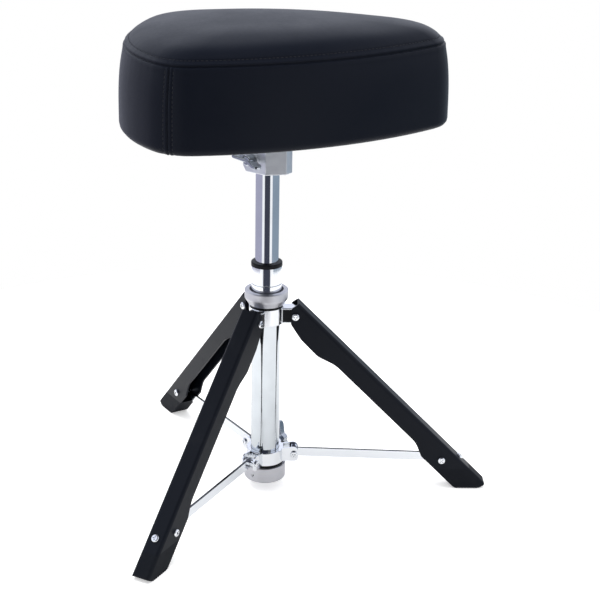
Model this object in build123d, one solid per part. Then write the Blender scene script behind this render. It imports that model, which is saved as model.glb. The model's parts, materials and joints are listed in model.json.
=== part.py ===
from build123d import *
import math
import os

# Drum throne: a padded three-cornered seat on a telescopic chrome column that stands on a
# folding three-legged base. Millimetres, +Z up. Everything is modelled round the column's
# axis with the floor at z = 0, and save_all() then moves it all together, so that the
# origin is on the floor under the middle of the whole object.

# --- layout -----------------------------------------------------------------------------
LEG_AZIMUTHS = (0, 120, 240)
FREE = 0.3            # gap between curved faces of different bodies
RUNNING = 0.08        # radial clearance of a pin or a sliding tube

# --- column -----------------------------------------------------------------------------
TUBE_R = 15.9         # 1 1/4 in base tube
TUBE_WALL = 1.8
TUBE_LOW = 14.0
TUBE_TOP = 265.0
POST_R = 12.7         # 1 in seat post
POST_WALL = 2.0
POST_LOW = 120.0
POST_TOP = 414.0
CAP_R = 23.1
CAP_LOW = 10.7
CAP_TOP = 28.6
CAP_SCREW_AZIMUTH = 235.0
CAP_SCREW_Z = 19.0
CAP_SCREW_R = 2.0
HUB_R = 19.0
HUB_LOW = 199.0
HUB_TOP = 218.0
LOCK_R = 24.0
LOCK_LOW = 221.0
LOCK_TOP = 237.5
SLEEVE_R = 16.7
SLEEVE_LOW = 233.0
SLEEVE_TOP = 244.6
COLLAR_LOW = 245.4
BUSH_LOW = 236.0
BUSH_RIM_R = 17.0
BUSH_TOP = 269.5

# --- legs: pressed steel channels, hinged at the hub --------------------------------------
PIVOT_R = 32.0
PIVOT_Z = 208.4
LEG_SLOPE = 45.3      # degrees below level
LEG_HALF = 10.5       # half the channel's outside width
LEG_WALL = 2.0
LEG_BEND = 3.6        # outside radius of the channel's two bends
WEB_T = 13.0          # web's outer face, above the line from the pivot along the leg
FOOT_CUT_Z = 24.4     # steel ends level at this height, rubber goes on below
FOOT_PLUG_S = 262.6
FOOT_LENGTH = 320.0   # longer than the leg, trimmed by the floor
WEB_SCREW_S = 255.8
PIN_R = 3.0
HEAD_R = 4.2
HEAD_H = 2.6

# --- stays and the sliding spider ---------------------------------------------------------
SPIDER_R = 21.0
SPIDER_LOW = 31.0
SPIDER_TOP = 47.0
EAR_GAP = 6.2         # half the gap between a pair of ear plates
EAR_WALL = 1.8
STAY_IN_R = 32.6
STAY_IN_Z = 40.6
STAY_OUT_R = 200.0
STAY_OUT_Z = 35.5
STAY_HALF = 5.0       # half the height of the flat bar
STAY_THICK = 3.0
STAY_PIN_R = 2.6
STAY_END_PIN_R = 3.2

# --- seat ---------------------------------------------------------------------------------
SEAT_TURN = 8.6       # degrees that the seat and its bracket are turned on the post
NOSE_X = 145.5
NOSE_R = 46.0
REAR_X = -88.0
REAR_Y = 66.0
REAR_R = 50.5
SIDE_R = 433.0
BACK_R = 190.0
SEAT_LOW = 420.0
SEAT_TOP = 531.5
SEAT_LOWER_R = 10.0   # rounding of the cushion's lower edge
SEAT_UPPER_R = 38.0   # rounding of its upper edge
VINYL = 1.6
BOARD_INSET = 16.0
BOARD_LOW = SEAT_LOW + VINYL
BOARD_TOP = BOARD_LOW + 12
HEM_WIDTH = 34.0
CLOTH_INSET = 24.0
CLOTH_THICK = 0.8
PLATE_X = 96.0
PLATE_Y = 80.0
PLATE_THICK = 4.0
PLATE_BOLT_X = 36.0
PLATE_BOLT_Y = 28.0
CLAMP_LOW = 372.0
CLAMP_HALF = 24.0
CLAMP_RIGHT = 23.4
CLAMP_FACET = 21.2    # distance of the wing bolt's facet from the post's axis

# --- wing bolts ---------------------------------------------------------------------------
BOLT_R = 3.0
BOLT_GAP = 0.4        # between a bolt's tip and the tube that it clamps
WING_THICK = 4.0
SEAT_BOLT_AZIMUTH = 225.0
SEAT_BOLT_Z = 387.0
SEAT_BOLT_REACH = 23.1    # the shoulder's distance from the column's axis
SEAT_BOLT_ROLL = -11.0
SPIDER_BOLT_AZIMUTH = 60.0
SPIDER_BOLT_Z = 40.5
SPIDER_BOLT_REACH = 35.0
SPIDER_BOLT_ROLL = 70.0
SPIDER_BOSS_R = 6.2
SPIDER_BOSS_REACH = 27.0
SEAT_BOSS_R = 7.0


def cylinder(radius, low, high):
    """An upright cylinder on the column's axis."""
    return Pos(0, 0, low) * extrude(Circle(radius), high - low)


def tube(outer, inner, low, high):
    """An upright tube on the column's axis."""
    return cylinder(outer, low, high) - cylinder(inner, low - 1, high + 1)


def rounded(shape, which, radius):
    """The shape with every edge of one end face, lowest 0 or highest -1, rounded."""
    return fillet(shape.faces().sort_by(Axis.Z)[which].edges(), radius)


def turned(points):
    """A solid of revolution from a closed outline of (radius, height) points."""
    return revolve(Plane.XZ * make_face(Polyline(*points, close=True)), Axis.Z)


def facing(origin, direction):
    """The location whose local +Z points along direction."""
    return Plane(origin=origin, z_dir=direction).location


def radial(azimuth, reach, height):
    """A point at a reach from the column's axis."""
    angle = math.radians(azimuth)
    return Vector(reach * math.cos(angle), reach * math.sin(angle), height)


def pan_head(radius, height):
    """A domed screw head with a cross recess, seated at z = 0."""
    head = rounded(cylinder(radius, 0, height), -1, 0.62 * height)
    slot = Box(1.15 * radius, 0.24 * radius, height)
    cross = slot + Rot(0, 0, 90) * slot
    return head - Pos(0, 0, height) * cross


def shank(radius, length):
    """A plain shank going down from z = 0."""
    return cylinder(radius, -length, 0)


# --- column -------------------------------------------------------------------------------
def base_tube():
    return tube(TUBE_R, TUBE_R - TUBE_WALL, TUBE_LOW, TUBE_TOP)


def end_cap():
    """The turned cap that closes the tube and stops the spider; its screw comes in below."""
    cap = rounded(cylinder(CAP_R, CAP_LOW, CAP_TOP), 0, 2.0)
    cap = fillet(cap.faces().sort_by(Axis.Z)[-1].edges(), 0.8)
    cap -= cylinder(TUBE_R, TUBE_LOW, CAP_TOP + 1)
    return cap - cap_screw_location() * cylinder(CAP_SCREW_R, 0, CAP_R)


def cap_screw_location():
    """From the grub screw's own frame, z out of the cap from the tube's face, to the column's."""
    start = radial(CAP_SCREW_AZIMUTH, TUBE_R + 0.1, CAP_SCREW_Z)
    return facing(start, radial(CAP_SCREW_AZIMUTH, 1, 0))


def end_cap_screw():
    """A grub screw with a hexagonal socket, sunk a little below the cap's side."""
    length = CAP_R - TUBE_R - 0.6
    socket = Pos(0, 0, length - 1.8) * extrude(RegularPolygon(1.1, 6), 3)
    return cap_screw_location() * (cylinder(CAP_SCREW_R, 0, length) - socket)


def stop_washer():
    return tube(SPIDER_R - 1.2, TUBE_R, CAP_TOP, SPIDER_LOW - 0.1)


def hub_ear():
    """One solid lug that a leg straddles, rounded about the leg's pivot."""
    round_r = 9.0
    nose = Pos(PIVOT_R, PIVOT_Z) * Circle(round_r)
    root_length = PIVOT_R - 0.5 * HUB_R
    root = Pos(PIVOT_R - root_length / 2, PIVOT_Z) * Rectangle(root_length, 2 * round_r)
    half = LEG_HALF - LEG_WALL - FREE
    lug = extrude(Plane.XZ * (nose + root), half, both=True)
    return fillet(lug.edges().filter_by(Axis.Y, reverse=True), 0.8)


def hub():
    """The cast hub: a sleeve on the tube with a lug for each leg."""
    body = rounded(cylinder(HUB_R, HUB_LOW, HUB_TOP), 0, 1.0)
    for azimuth in LEG_AZIMUTHS:
        body += Rot(0, 0, azimuth) * hub_ear()
    body -= cylinder(TUBE_R, HUB_LOW - 1, HUB_TOP + 1)
    for azimuth in LEG_AZIMUTHS:
        hole = extrude(Plane.XZ * Pos(PIVOT_R, PIVOT_Z) * Circle(PIN_R), LEG_HALF, both=True)
        body -= Rot(0, 0, azimuth) * hole
    return body


def pivot_bolt():
    """A bolt through one leg and its lug, with its head on the right side of the leg."""
    face = LEG_HALF + 0.15
    bolt = pan_head(HEAD_R, HEAD_H) + shank(PIN_R, 2 * face + 1.2)
    return facing((PIVOT_R, -face, PIVOT_Z), (0, -1, 0)) * bolt


def pivot_nut():
    """The domed nut on a pivot bolt's far end."""
    face = LEG_HALF + 0.15
    nut = pan_head(HEAD_R, HEAD_H) - cylinder(PIN_R, -1, 1.2)
    return facing((PIVOT_R, face, PIVOT_Z), (0, 1, 0)) * nut


def hub_washer():
    return tube(17.8, TUBE_R, HUB_TOP, LOCK_LOW - FREE)


def lock_ring():
    """The height lock's ring: a bowl-shaped underside and a recess round the sleeve."""
    under_r = 19.5
    recess_r = 18.8
    outline = [
        (TUBE_R + FREE, LOCK_LOW),
        (under_r, LOCK_LOW),
        (LOCK_R, LOCK_LOW + 7),
        (LOCK_R, LOCK_TOP),
        (recess_r, LOCK_TOP),
        (recess_r - 0.8, SLEEVE_LOW - 0.6),
        (TUBE_R + FREE, SLEEVE_LOW - 0.6),
    ]
    ring = turned(outline)
    ring = fillet(outer_circles(ring, LOCK_R)[0], 5.0)
    return chamfer(outer_circles(ring, LOCK_R)[-1], 0.8)


def outer_circles(shape, radius):
    """The shape's circular edges of one radius, from the lowest up."""
    circles = shape.edges().filter_by(GeomType.CIRCLE)
    return circles.filter_by(lambda edge: abs(edge.radius - radius) < 0.01).sort_by(Axis.Z)


def lower_sleeve():
    return rounded(tube(SLEEVE_R, TUBE_R, SLEEVE_LOW, SLEEVE_TOP), -1, 0.3)


def tube_collar():
    return rounded(tube(SLEEVE_R, TUBE_R, COLLAR_LOW, TUBE_TOP), 0, 0.3)


def post_bush():
    """The nylon bush that the post slides in, with a rim over the tube's end."""
    rim = rounded(cylinder(BUSH_RIM_R, TUBE_TOP, BUSH_TOP), -1, 1.2)
    body = rim + cylinder(TUBE_R - TUBE_WALL, BUSH_LOW, TUBE_TOP)
    return body - cylinder(POST_R + RUNNING, BUSH_LOW - 1, BUSH_TOP + 1)


# --- legs ---------------------------------------------------------------------------------
def leg_location(azimuth):
    """From the leg's own frame, x along the leg and z out of its web, to the column's."""
    return Rot(0, 0, azimuth) * Pos(PIVOT_R, 0, PIVOT_Z) * Rot(0, LEG_SLOPE, 0)


def in_leg_frame(reach, height):
    """A point of the leg's plane, given from the column's axis, in the leg's own frame."""
    slope = math.radians(LEG_SLOPE)
    out = reach - PIVOT_R
    up = height - PIVOT_Z
    along = out * math.cos(slope) - up * math.sin(slope)
    across = out * math.sin(slope) + up * math.cos(slope)
    return along, across


def leg_section(half, bend, low, high):
    """A bar along the leg with the channel's cross-section, its two top edges rounded."""
    length = FOOT_LENGTH + 40
    bar = Pos(FOOT_LENGTH / 2 - 20, 0, (low + high) / 2) * Box(length, 2 * half, high - low)
    long_edges = bar.faces().sort_by(Axis.Z)[-1].edges().filter_by(Axis.X)
    return fillet(long_edges, bend)


def leg_side():
    """The channel's side outline: deep near the hub, slim in the middle, deep at the foot."""
    outline = [
        (-8.0, WEB_T),
        (-9.5, 3.5),
        (3.0, -10.0),
        (24.0, -14.6),
        (51.0, -15.2),
        (72.0, -8.3),
        (204.0, -8.3),
        (221.5, -15.5),
        (FOOT_LENGTH, -15.5),
        (FOOT_LENGTH, WEB_T),
    ]
    corner_radii = [0, 3, 4, 30, 16, 40, 30, 5, 0, 0]
    edge = FilletPolyline(*outline, radius=corner_radii, close=True)
    return extrude(Plane.XZ * make_face(edge), LEG_HALF + 1, both=True)


def below(height):
    """Everything lower than a height, as a slab in the column's frame."""
    slab = 200.0
    return Pos(PIVOT_R + 150, 0, height - slab / 2) * Box(400, 100, slab)


def to_leg_frame(shape):
    return leg_location(0).inverse() * shape


def leg_channel():
    """One leg's steel channel in its own frame, cut level where the rubber begins."""
    outer = leg_section(LEG_HALF, LEG_BEND, -40, WEB_T) & leg_side()
    inner = leg_section(LEG_HALF - LEG_WALL, LEG_BEND - LEG_WALL, -45, WEB_T - LEG_WALL)
    channel = outer - inner - to_leg_frame(below(FOOT_CUT_Z))
    channel -= across_hole(0, 0, PIN_R + RUNNING)
    along, across = in_leg_frame(STAY_OUT_R, STAY_OUT_Z)
    channel -= across_hole(along, across, STAY_PIN_R)
    return channel - Pos(WEB_SCREW_S, 0, WEB_T) * Cylinder(2.2, 10)


def across_hole(along, across, radius):
    """A cylinder right across the leg."""
    return extrude(Plane.XZ * Pos(along, across) * Circle(radius), LEG_HALF + 2, both=True)


def sole_teeth():
    """The grooves of the serrated sole, cut up from the floor."""
    pitch = 3.2
    first = 220.6
    grooves = []
    for index in range(9):
        tooth = [(-0.9, -1), (0.9, -1), (0.35, 1.3), (-0.35, 1.3)]
        profile = Pos(first + index * pitch, 0) * Polygon(*tooth, align=None)
        grooves.append(extrude(Plane.XZ * profile, LEG_HALF + 1, both=True))
    return grooves


def foot_side():
    """The rubber foot's side outline in the column's frame: heel, flat sole, raised toe."""
    outline = [
        (180, FOOT_CUT_Z),
        (216.0, 1.2),
        (219.2, 0.0),
        (243.0, 0.0),
        (250.6, 4.6),
        (249.6, 12.0),
        (238.0, FOOT_CUT_Z),
    ]
    edge = FilletPolyline(*outline, radius=[0, 1, 2, 12, 1.2, 7, 0], close=True)
    return extrude(Plane.XZ * make_face(edge), LEG_HALF + 1, both=True)


def rubber_foot():
    """One foot in the leg's own frame, flush with the channel, with a plug up inside it."""
    bar = leg_section(LEG_HALF, LEG_BEND, -15.5, WEB_T)
    foot = bar & to_leg_frame(foot_side())
    plug = leg_section(LEG_HALF - LEG_WALL, LEG_BEND - LEG_WALL, -15.5, WEB_T - LEG_WALL)
    plug &= Pos(FOOT_PLUG_S + 10, 0, 0) * Box(20, 40, 60)
    foot += plug - to_leg_frame(below(FOOT_CUT_Z))
    for groove in sole_teeth():
        foot -= to_leg_frame(groove)
    return foot


def leg_screws():
    """A leg's fasteners: the foot screw in the web and the two that close the stay's pivot."""
    web_screw = pan_head(HEAD_R, 2.4) + shank(2.2, LEG_WALL)
    along, across = in_leg_frame(STAY_OUT_R, STAY_OUT_Z)
    side_screw = pan_head(HEAD_R, HEAD_H) + shank(STAY_PIN_R, LEG_WALL)
    screws = [Pos(WEB_SCREW_S, 0, WEB_T) * web_screw]
    for side in (-1, 1):
        seat = facing((along, side * LEG_HALF, across), (0, side, 0))
        screws.append(seat * side_screw)
    return screws


# --- spider and stays ---------------------------------------------------------------------
def spider_ears():
    """A pair of ear plates that hold one stay's inner pin."""
    outline = [
        (SPIDER_R - 3.5, SPIDER_LOW + 1),
        (STAY_IN_R + 5, SPIDER_LOW + 1),
        (STAY_IN_R + 5, SPIDER_TOP + 3),
        (SPIDER_R - 3.5, SPIDER_TOP),
    ]
    face = Plane.XZ * make_face(FilletPolyline(*outline, radius=[0, 4, 6, 0], close=True))
    outside = EAR_GAP + EAR_WALL
    plates = extrude(face, outside, both=True)
    gap_length = 30.0
    gap_start = SPIDER_R - 0.5
    gap = Pos(gap_start + gap_length / 2, 0, STAY_IN_Z) * Box(gap_length, 2 * EAR_GAP, 40)
    return plates - gap


def spider_ring():
    """The ring that slides on the tube, with three pairs of ears and the clamp's boss."""
    ring = cylinder(SPIDER_R, SPIDER_LOW, SPIDER_TOP)
    ring = fillet(ring.faces().filter_by(Plane.XY).edges(), 0.9)
    for azimuth in LEG_AZIMUTHS:
        ring += Rot(0, 0, azimuth) * spider_ears()
    axis = facing(radial(SPIDER_BOLT_AZIMUTH, 0, SPIDER_BOLT_Z), radial(SPIDER_BOLT_AZIMUTH, 1, 0))
    ring += axis * rounded_boss(SPIDER_BOSS_R, TUBE_R + 1, SPIDER_BOSS_REACH)
    ring -= cylinder(TUBE_R + FREE, SPIDER_LOW - 1, SPIDER_TOP + 5)
    ring -= axis * cylinder(BOLT_R + RUNNING, 0, SPIDER_BOSS_REACH + 1)
    for azimuth in LEG_AZIMUTHS:
        pin_hole = Plane.XZ * Pos(STAY_IN_R, STAY_IN_Z) * Circle(STAY_PIN_R)
        ring -= Rot(0, 0, azimuth) * extrude(pin_hole, 12, both=True)
    return ring


def rounded_boss(radius, start, end):
    """A boss along +Z with its outer rim softened."""
    return rounded(cylinder(radius, start, end), -1, 0.6)


def spider_pin():
    """One riveted pin across a pair of ears, with a domed head each side."""
    face = EAR_GAP + EAR_WALL
    pin = extrude(Plane.XZ * Pos(STAY_IN_R, STAY_IN_Z) * Circle(STAY_PIN_R), face, both=True)
    for side in (-1, 1):
        pin += facing((STAY_IN_R, side * face, STAY_IN_Z), (0, side, 0)) * pan_head(3.9, 2.0)
    return pin


def spider_spacers():
    """Two spacers that keep one stay in the middle of its ears."""
    inside = STAY_THICK / 2 + 0.2
    length = EAR_GAP - 0.05 - inside
    spacers = []
    for side in (-1, 1):
        spacer = tube(4.3, STAY_PIN_R, 0, length)
        spacers.append(facing((STAY_IN_R, side * inside, STAY_IN_Z), (0, side, 0)) * spacer)
    return spacers


def stay():
    """A flat bar on edge with round ends, from the spider's pin to the leg's pin."""
    run = Vector(STAY_OUT_R - STAY_IN_R, 0, STAY_OUT_Z - STAY_IN_Z)
    length = run.length
    bar = Pos(length / 2, 0) * SlotCenterToCenter(length, 2 * STAY_HALF)
    bar -= Circle(STAY_PIN_R + RUNNING)
    bar -= Pos(length, 0) * Circle(STAY_END_PIN_R)
    blade = extrude(Plane.XZ * bar, STAY_THICK / 2, both=True)
    return stay_location() * blade


def stay_pin():
    """The cross pin riveted in a stay's outer eye; it turns between the leg's flanges."""
    length = STAY_OUT_R - STAY_IN_R
    drop = STAY_IN_Z - STAY_OUT_Z
    half = LEG_HALF - LEG_WALL - 1.3
    eye = Plane.XZ * Pos(math.hypot(length, drop), 0) * Circle(STAY_END_PIN_R)
    return stay_location() * extrude(eye, half, both=True)


def stay_location():
    """From the stay's own frame, x from the inner pin to the outer, to the column's."""
    fall = math.degrees(math.atan2(STAY_IN_Z - STAY_OUT_Z, STAY_OUT_R - STAY_IN_R))
    return Pos(STAY_IN_R, 0, STAY_IN_Z) * Rot(0, fall, 0)


# --- wing bolts -----------------------------------------------------------------------------
def wing_bolt(shank_length):
    """A wing bolt along +X, its shoulder at x = 0 and its two wings in the XY plane."""
    boss = Rot(0, 90, 0) * rounded(cylinder(5.6, 0, 9), -1, 2.0)
    root = Pos(4.6, 0) * Circle(4.2)
    lobes = [make_hull((root + Pos(8.4, side * 14.6) * Circle(5.4)).edges()) for side in (-1, 1)]
    wings = extrude(lobes[0] + lobes[1], WING_THICK / 2, both=True)
    head = boss + fillet(wings.faces().filter_by(Plane.XY).edges(), 1.2)
    return head + Rot(0, -90, 0) * cylinder(BOLT_R, -1, shank_length)


def wing_bolt_location(azimuth, reach, height, roll):
    return Pos(radial(azimuth, reach, height)) * Rot(0, 0, azimuth) * Rot(roll, 0, 0)


def spider_wing_bolt():
    place = wing_bolt_location(
        SPIDER_BOLT_AZIMUTH, SPIDER_BOLT_REACH, SPIDER_BOLT_Z, SPIDER_BOLT_ROLL
    )
    return place * wing_bolt(SPIDER_BOLT_REACH - TUBE_R - BOLT_GAP)


def seat_wing_bolt():
    place = wing_bolt_location(SEAT_BOLT_AZIMUTH, SEAT_BOLT_REACH, SEAT_BOLT_Z, SEAT_BOLT_ROLL)
    return place * wing_bolt(SEAT_BOLT_REACH - POST_R - BOLT_GAP)


# --- post -----------------------------------------------------------------------------------
def seat_post():
    return tube(POST_R, POST_R - POST_WALL, POST_LOW, POST_TOP)


def post_glide():
    """The plastic plug in the post's lower end, with a rim that runs inside the tube."""
    rim_r = TUBE_R - TUBE_WALL - FREE
    rim = rounded(cylinder(rim_r, POST_LOW - 8, POST_LOW), 0, 1.5)
    return rim + cylinder(POST_R - POST_WALL, POST_LOW, POST_LOW + 14)


# --- seat -----------------------------------------------------------------------------------
def side_centre(first, first_r, second, second_r, side_r):
    """Centre of the arc of radius side_r that two corner circles touch from inside."""
    span = second - first
    near = side_r - first_r
    far = side_r - second_r
    along = (near**2 - far**2 + span.length**2) / (2 * span.length)
    across = math.sqrt(near**2 - along**2)
    unit = span.normalized()
    return first + unit * along + Vector(-unit.Y, unit.X) * across


def seat_plan(inset):
    """The seat's rounded triangle, drawn in by an inset: three corners and three long arcs."""
    corners = [
        (Vector(NOSE_X, 0), NOSE_R - inset),
        (Vector(REAR_X, REAR_Y), REAR_R - inset),
        (Vector(REAR_X, -REAR_Y), REAR_R - inset),
    ]
    side_radii = [SIDE_R - inset, BACK_R - inset, SIDE_R - inset]
    centres = []
    for index, (centre, radius) in enumerate(corners):
        following, following_r = corners[(index + 1) % 3]
        centres.append(side_centre(centre, radius, following, following_r, side_radii[index]))
    arcs = []
    for index, (centre, radius) in enumerate(corners):
        arrive = (centre - centres[index - 1]).normalized()
        leave = (centre - centres[index]).normalized()
        corner = [centre + way.normalized() * radius for way in (arrive, arrive + leave, leave)]
        arcs.append(ThreePointArc(*corner))
        following, following_r = corners[(index + 1) % 3]
        onward = (following - centres[index]).normalized()
        middle = centres[index] + (leave + onward).normalized() * side_radii[index]
        arcs.append(ThreePointArc(corner[2], middle, following + onward * following_r))
    return Rot(0, 0, SEAT_TURN) * make_face(arcs)


def seat_slab(inset, low, high):
    return Pos(0, 0, low) * extrude(seat_plan(inset), high - low)


def cushion(inset):
    """The cushion's outer form, drawn in by an inset, with rounded lower and upper edges."""
    slab = seat_slab(inset, SEAT_LOW + inset, SEAT_TOP - inset)
    slab = rounded(slab, 0, SEAT_LOWER_R - inset)
    return rounded(slab, -1, SEAT_UPPER_R - inset)


def seat_cover():
    """The sewn vinyl cover, open underneath inside its hem."""
    hollow = cushion(0) - cushion(VINYL)
    return hollow - seat_slab(HEM_WIDTH, SEAT_LOW - 1, SEAT_LOW + VINYL + 0.5)


def seat_board():
    board = seat_slab(BOARD_INSET, BOARD_LOW, BOARD_TOP)
    for x, y in plate_bolt_places():
        board -= Pos(x, y, 0) * cylinder(4.0, BOARD_LOW - 1, BOARD_TOP)
        board -= Pos(x, y, 0) * cylinder(9.0, BOARD_TOP - 1.2, BOARD_TOP + 1)
    return board


def seat_foam():
    """The foam block, moulded over the board's edge."""
    block = cushion(VINYL + 0.1)
    return block - seat_slab(BOARD_INSET - 0.1, SEAT_LOW - 1, BOARD_TOP + 0.1)


def bottom_cloth():
    """The dust cloth under the seat, stapled over the hem, cut out round the bracket."""
    cloth = seat_slab(CLOTH_INSET, SEAT_LOW - CLOTH_THICK, SEAT_LOW)
    return cloth - Pos(0, 0, SEAT_LOW) * Rot(0, 0, SEAT_TURN) * Box(PLATE_X + 4, PLATE_Y + 4, 10)


def plate_bolt_places():
    """Where the four screws stand on the flange, turned with the seat."""
    spots = [Vector(x * PLATE_BOLT_X, y * PLATE_BOLT_Y, 0) for x in (-1, 1) for y in (-1, 1)]
    turned_spots = [spot.rotate(Axis.Z, SEAT_TURN) for spot in spots]
    return [(spot.X, spot.Y) for spot in turned_spots]


def clamp_block():
    """The faceted casting that grips the post, with a flat for the wing bolt's boss."""
    flat_end = CLAMP_FACET * math.sqrt(2) - CLAMP_HALF
    outline = [
        (-flat_end, -CLAMP_HALF),
        (CLAMP_RIGHT - 7, -CLAMP_HALF),
        (CLAMP_RIGHT, -CLAMP_HALF + 7),
        (CLAMP_RIGHT, CLAMP_HALF - 7),
        (CLAMP_RIGHT - 7, CLAMP_HALF),
        (-CLAMP_HALF + 7, CLAMP_HALF),
        (-CLAMP_HALF, CLAMP_HALF - 7),
        (-CLAMP_HALF, -flat_end),
    ]
    plan = make_face(FilletPolyline(*outline, radius=1.2, close=True))
    block = Pos(0, 0, CLAMP_LOW) * extrude(plan, BOARD_LOW - CLAMP_LOW)
    block = Rot(0, 0, SEAT_TURN) * rounded(block, 0, 1.0)
    boss_end = SEAT_BOLT_REACH - BOLT_GAP
    return block + seat_bolt_axis() * rounded_boss(SEAT_BOSS_R, POST_R + 1, boss_end)


def seat_bolt_axis():
    """The location on the post's axis whose +Z runs out along the seat's wing bolt."""
    return facing(radial(SEAT_BOLT_AZIMUTH, 0, SEAT_BOLT_Z), radial(SEAT_BOLT_AZIMUTH, 1, 0))


def seat_bracket():
    """The cast seat bracket: clamp block, flange under the board and two gussets."""
    plate = extrude(RectangleRounded(PLATE_X, PLATE_Y, 12), PLATE_THICK)
    bracket = clamp_block() + Pos(0, 0, BOARD_LOW - PLATE_THICK) * Rot(0, 0, SEAT_TURN) * plate
    gusset = Polygon((0, 0), (0, -26), (18, 0), align=None)
    gusset_solid = extrude(Plane.XZ * gusset, 2.5, both=True)
    for side in (0, 180):
        foot = Pos(CLAMP_HALF - 1, 0, BOARD_LOW - PLATE_THICK)
        bracket += Rot(0, 0, side + SEAT_TURN) * foot * gusset_solid
    bracket -= cylinder(POST_R + RUNNING, CLAMP_LOW - 1, POST_TOP + 0.3)
    bracket -= seat_bolt_axis() * cylinder(BOLT_R + RUNNING, 0, 40)
    for x, y in plate_bolt_places():
        bracket -= Pos(x, y, 0) * cylinder(3.2, BOARD_LOW - 10, BOARD_LOW + 1)
    return bracket


def bracket_bolts():
    """Four screws up through the flange."""
    low = BOARD_LOW - PLATE_THICK
    screw = Rot(180, 0, 0) * (pan_head(5.5, 3.2) + shank(2.9, PLATE_THICK + 10))
    return [Pos(x, y, low) * screw for x, y in plate_bolt_places()]


def tee_nuts():
    """Four tee nuts let into the board from above."""
    nut = cylinder(4.0, BOARD_LOW + 1, BOARD_TOP - 1.2) + cylinder(9.0, BOARD_TOP - 1.2, BOARD_TOP)
    nut -= cylinder(2.9, BOARD_LOW, BOARD_TOP + 1)
    return [Pos(x, y, 0) * nut for x, y in plate_bolt_places()]


# --- assembly ---------------------------------------------------------------------------------
def round_the_column(make):
    """One copy of a part at each leg."""
    return [Rot(0, 0, azimuth) * make() for azimuth in LEG_AZIMUTHS]


def group(parts):
    """Separate solids kept together as one sub-part."""
    return Compound([solid for part in parts for solid in part.solids()])


def build():
    """Every sub-part by its node's name, in the column's frame."""
    nodes = {
        "base_tube": base_tube(),
        "end_cap": end_cap(),
        "end_cap_screw": end_cap_screw(),
        "stop_washer": stop_washer(),
        "hub": hub(),
        "hub_washer": hub_washer(),
        "pivot_bolts": group(round_the_column(pivot_bolt)),
        "pivot_nuts": group(round_the_column(pivot_nut)),
        "lock_ring": lock_ring(),
        "lower_sleeve": lower_sleeve(),
        "tube_collar": tube_collar(),
        "post_bush": post_bush(),
        "spider_ring": spider_ring(),
        "spider_pins": group(round_the_column(spider_pin)),
        "spider_spacers": group(
            Rot(0, 0, azimuth) * spacer for azimuth in LEG_AZIMUTHS for spacer in spider_spacers()
        ),
        "spider_wing_bolt": spider_wing_bolt(),
        "seat_post": seat_post(),
        "post_glide": post_glide(),
        "seat_bracket": seat_bracket(),
        "seat_wing_bolt": seat_wing_bolt(),
        "bracket_bolts": group(bracket_bolts()),
        "tee_nuts": group(tee_nuts()),
        "seat_board": seat_board(),
        "seat_foam": seat_foam(),
        "seat_cover": seat_cover(),
        "bottom_cloth": bottom_cloth(),
    }
    for number, azimuth in enumerate(LEG_AZIMUTHS, start=1):
        leg_place = leg_location(azimuth)
        nodes[f"leg_{number}"] = leg_place * leg_channel()
        nodes[f"foot_{number}"] = leg_place * rubber_foot()
        nodes[f"leg_{number}_screws"] = group(leg_place * screw for screw in leg_screws())
        nodes[f"stay_{number}"] = Rot(0, 0, azimuth) * stay()
        nodes[f"stay_{number}_pin"] = Rot(0, 0, azimuth) * stay_pin()
    return nodes


def save_all(nodes):
    """Move everything so that the box's bottom centre is the origin, and write the files."""
    os.makedirs("parts", exist_ok=True)
    boxes = [shape.bounding_box() for shape in nodes.values()]
    low = [min(tuple(box.min)[axis] for box in boxes) for axis in range(3)]
    high = [max(tuple(box.max)[axis] for box in boxes) for axis in range(3)]
    shift = Pos(-(low[0] + high[0]) / 2, -(low[1] + high[1]) / 2, 0)
    print("column axis at", tuple(shift.position), "lowest point", low[2])
    print("size", [round(top - bottom, 2) for top, bottom in zip(high, low)])
    for name, shape in nodes.items():
        export_step(shift * shape, f"parts/{name}.step")


save_all(build())
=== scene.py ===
import json
import math

import bpy
import numpy as np
from mathutils import Matrix, Vector
from mathutils.bvhtree import BVHTree


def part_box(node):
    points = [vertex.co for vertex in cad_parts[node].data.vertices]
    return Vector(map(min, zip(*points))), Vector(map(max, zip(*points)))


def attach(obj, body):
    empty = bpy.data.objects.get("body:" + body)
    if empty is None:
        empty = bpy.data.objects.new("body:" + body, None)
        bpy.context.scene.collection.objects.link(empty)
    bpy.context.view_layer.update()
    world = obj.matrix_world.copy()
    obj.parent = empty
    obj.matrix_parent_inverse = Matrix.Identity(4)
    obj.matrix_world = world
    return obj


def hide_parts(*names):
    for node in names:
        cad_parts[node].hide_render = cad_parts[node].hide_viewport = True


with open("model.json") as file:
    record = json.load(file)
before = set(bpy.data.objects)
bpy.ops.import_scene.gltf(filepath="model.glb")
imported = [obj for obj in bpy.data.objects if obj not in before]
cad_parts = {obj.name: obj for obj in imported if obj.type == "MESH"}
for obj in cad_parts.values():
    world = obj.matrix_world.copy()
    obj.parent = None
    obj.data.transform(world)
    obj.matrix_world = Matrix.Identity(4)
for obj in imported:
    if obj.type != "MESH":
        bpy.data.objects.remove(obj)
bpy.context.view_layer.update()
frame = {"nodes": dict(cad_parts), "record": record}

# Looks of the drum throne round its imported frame. Metres, the row frame, +Z up.

MM = 0.001
tube_low, tube_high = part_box("base_tube")
AXIS = Vector(((tube_low.x + tube_high.x) / 2, (tube_low.y + tube_high.y) / 2, 0))

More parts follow.
